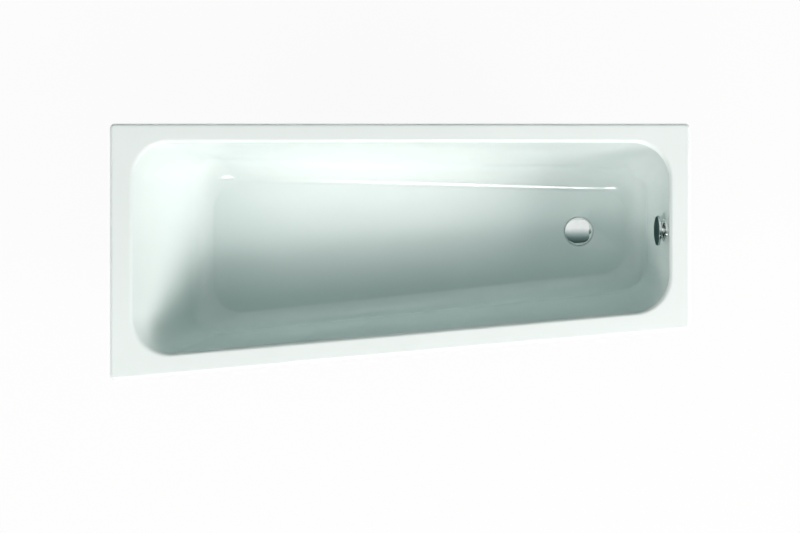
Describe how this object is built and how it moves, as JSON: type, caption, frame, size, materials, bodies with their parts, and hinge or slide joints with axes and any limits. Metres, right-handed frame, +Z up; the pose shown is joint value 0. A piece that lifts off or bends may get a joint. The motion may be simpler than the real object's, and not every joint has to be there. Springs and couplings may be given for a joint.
{
  "type": "bathtub",
  "caption": "Tapered space-saving bathtub of enamelled steel on screw legs, with a knob-worked plug, overflow, hose and trap.",
  "frame": {"origin": "on the room's floor, below the middle of the tub's bounding box", "axes": "+X towards the drain end, +Y towards the wall side, +Z up"},
  "size_m": [1.7, 0.75, 0.565],
  "materials": {
    "enamel": "glossy vitreous enamel",
    "chrome": "polished chrome plate",
    "plug_metal": "nickel-plated brass",
    "brass": "turned brass",
    "rubber": "matt black rubber",
    "bitumen": "pressed bitumen sheet",
    "black_plastic": "moulded, fine grain",
    "white_plastic": "moulded, semi-matt",
    "hose": "ribbed, semi-matt",
    "cable": "smooth plastic sheath",
    "zinc": "zinc-plated",
    "foot_plastic": "moulded, matt"
  },
  "bodies": {
    "tub": {"tub_shell": "enamel", "damping_pads": "bitumen", "earth_tag": "zinc", "drain_flange_seal": "rubber", "drain_flange": "chrome", "waste_gasket": "rubber", "waste_body": "black_plastic", "trap_inlet_washer": "rubber", "trap_inlet_nut": "white_plastic", "trap_bend": "white_plastic", "trap_outlet_washer": "rubber", "trap_outlet_nut": "white_plastic", "outlet_pipe": "white_plastic", "overflow_gasket": "rubber", "overflow_body": "black_plastic", "overflow_rosette": "chrome", "cable_sheath": "cable", "overflow_hose": "hose", "hose_top_washer": "rubber", "hose_top_nut": "white_plastic", "hose_bottom_washer": "rubber", "hose_bottom_nut": "white_plastic", "head_rail": "zinc", "foot_rail": "zinc", "rail_pads": "rubber", "rail_studs": "zinc", "rail_stud_nuts": "zinc", "leg_weld_nuts": "zinc", "leg_lock_nuts": "zinc"},
    "knob": {"overflow_knob": "chrome", "knob_shaft": "brass", "cable_drum": "white_plastic"},
    "lifter": {"lift_pin": "plug_metal"},
    "rocker": {"lift_rocker": "white_plastic"},
    "plug": {"plug_cover": "chrome", "plug_seal": "rubber", "plug_stem": "plug_metal"},
    "leg_head_front": {"leg_rod_head_front": "zinc", "leg_foot_head_front": "foot_plastic"},
    "leg_head_back": {"leg_rod_head_back": "zinc", "leg_foot_head_back": "foot_plastic"},
    "leg_foot_front": {"leg_rod_foot_front": "zinc", "leg_foot_foot_front": "foot_plastic"},
    "leg_foot_back": {"leg_rod_foot_back": "zinc", "leg_foot_foot_back": "foot_plastic"}
  },
  "joints": [
    {"name": "knob_turn", "type": "hinge", "parent": "tub", "child": "knob", "pos_m": [0.77966, 0.062, 0.48978], "axis": [-0.9898, 0, 0.1426], "range_deg": [0, 90]},
    {"name": "lifter_rise", "type": "slide", "parent": "tub", "child": "lifter", "axis": [0, 0, 1], "range_m": [0, 0.01]},
    {"name": "rocker_tilt", "type": "hinge", "parent": "tub", "child": "rocker", "pos_m": [0.56, 0.062, 0.10594], "axis": [0, 1, 0], "range_deg": [0, 30]},
    {"name": "plug_pull", "type": "slide", "parent": "lifter", "child": "plug", "axis": [0, 0, 1], "range_m": [0, 0.045]},
    {"name": "leg_screw_head_front", "type": "slide", "parent": "tub", "child": "leg_head_front", "axis": [0, 0, -1], "range_m": [-0.02, 0.04]},
    {"name": "leg_screw_head_back", "type": "slide", "parent": "tub", "child": "leg_head_back", "axis": [0, 0, -1], "range_m": [-0.02, 0.04]},
    {"name": "leg_screw_foot_front", "type": "slide", "parent": "tub", "child": "leg_foot_front", "axis": [0, 0, -1], "range_m": [-0.02, 0.04]},
    {"name": "leg_screw_foot_back", "type": "slide", "parent": "tub", "child": "leg_foot_back", "axis": [0, 0, -1], "range_m": [-0.02, 0.04]}
  ],
  "couplings": [
    {"joint": "lifter_rise", "follows": "knob_turn", "m_per_rad": 0.006366},
    {"joint": "rocker_tilt", "follows": "knob_turn", "ratio": 0.33333}
  ]
}
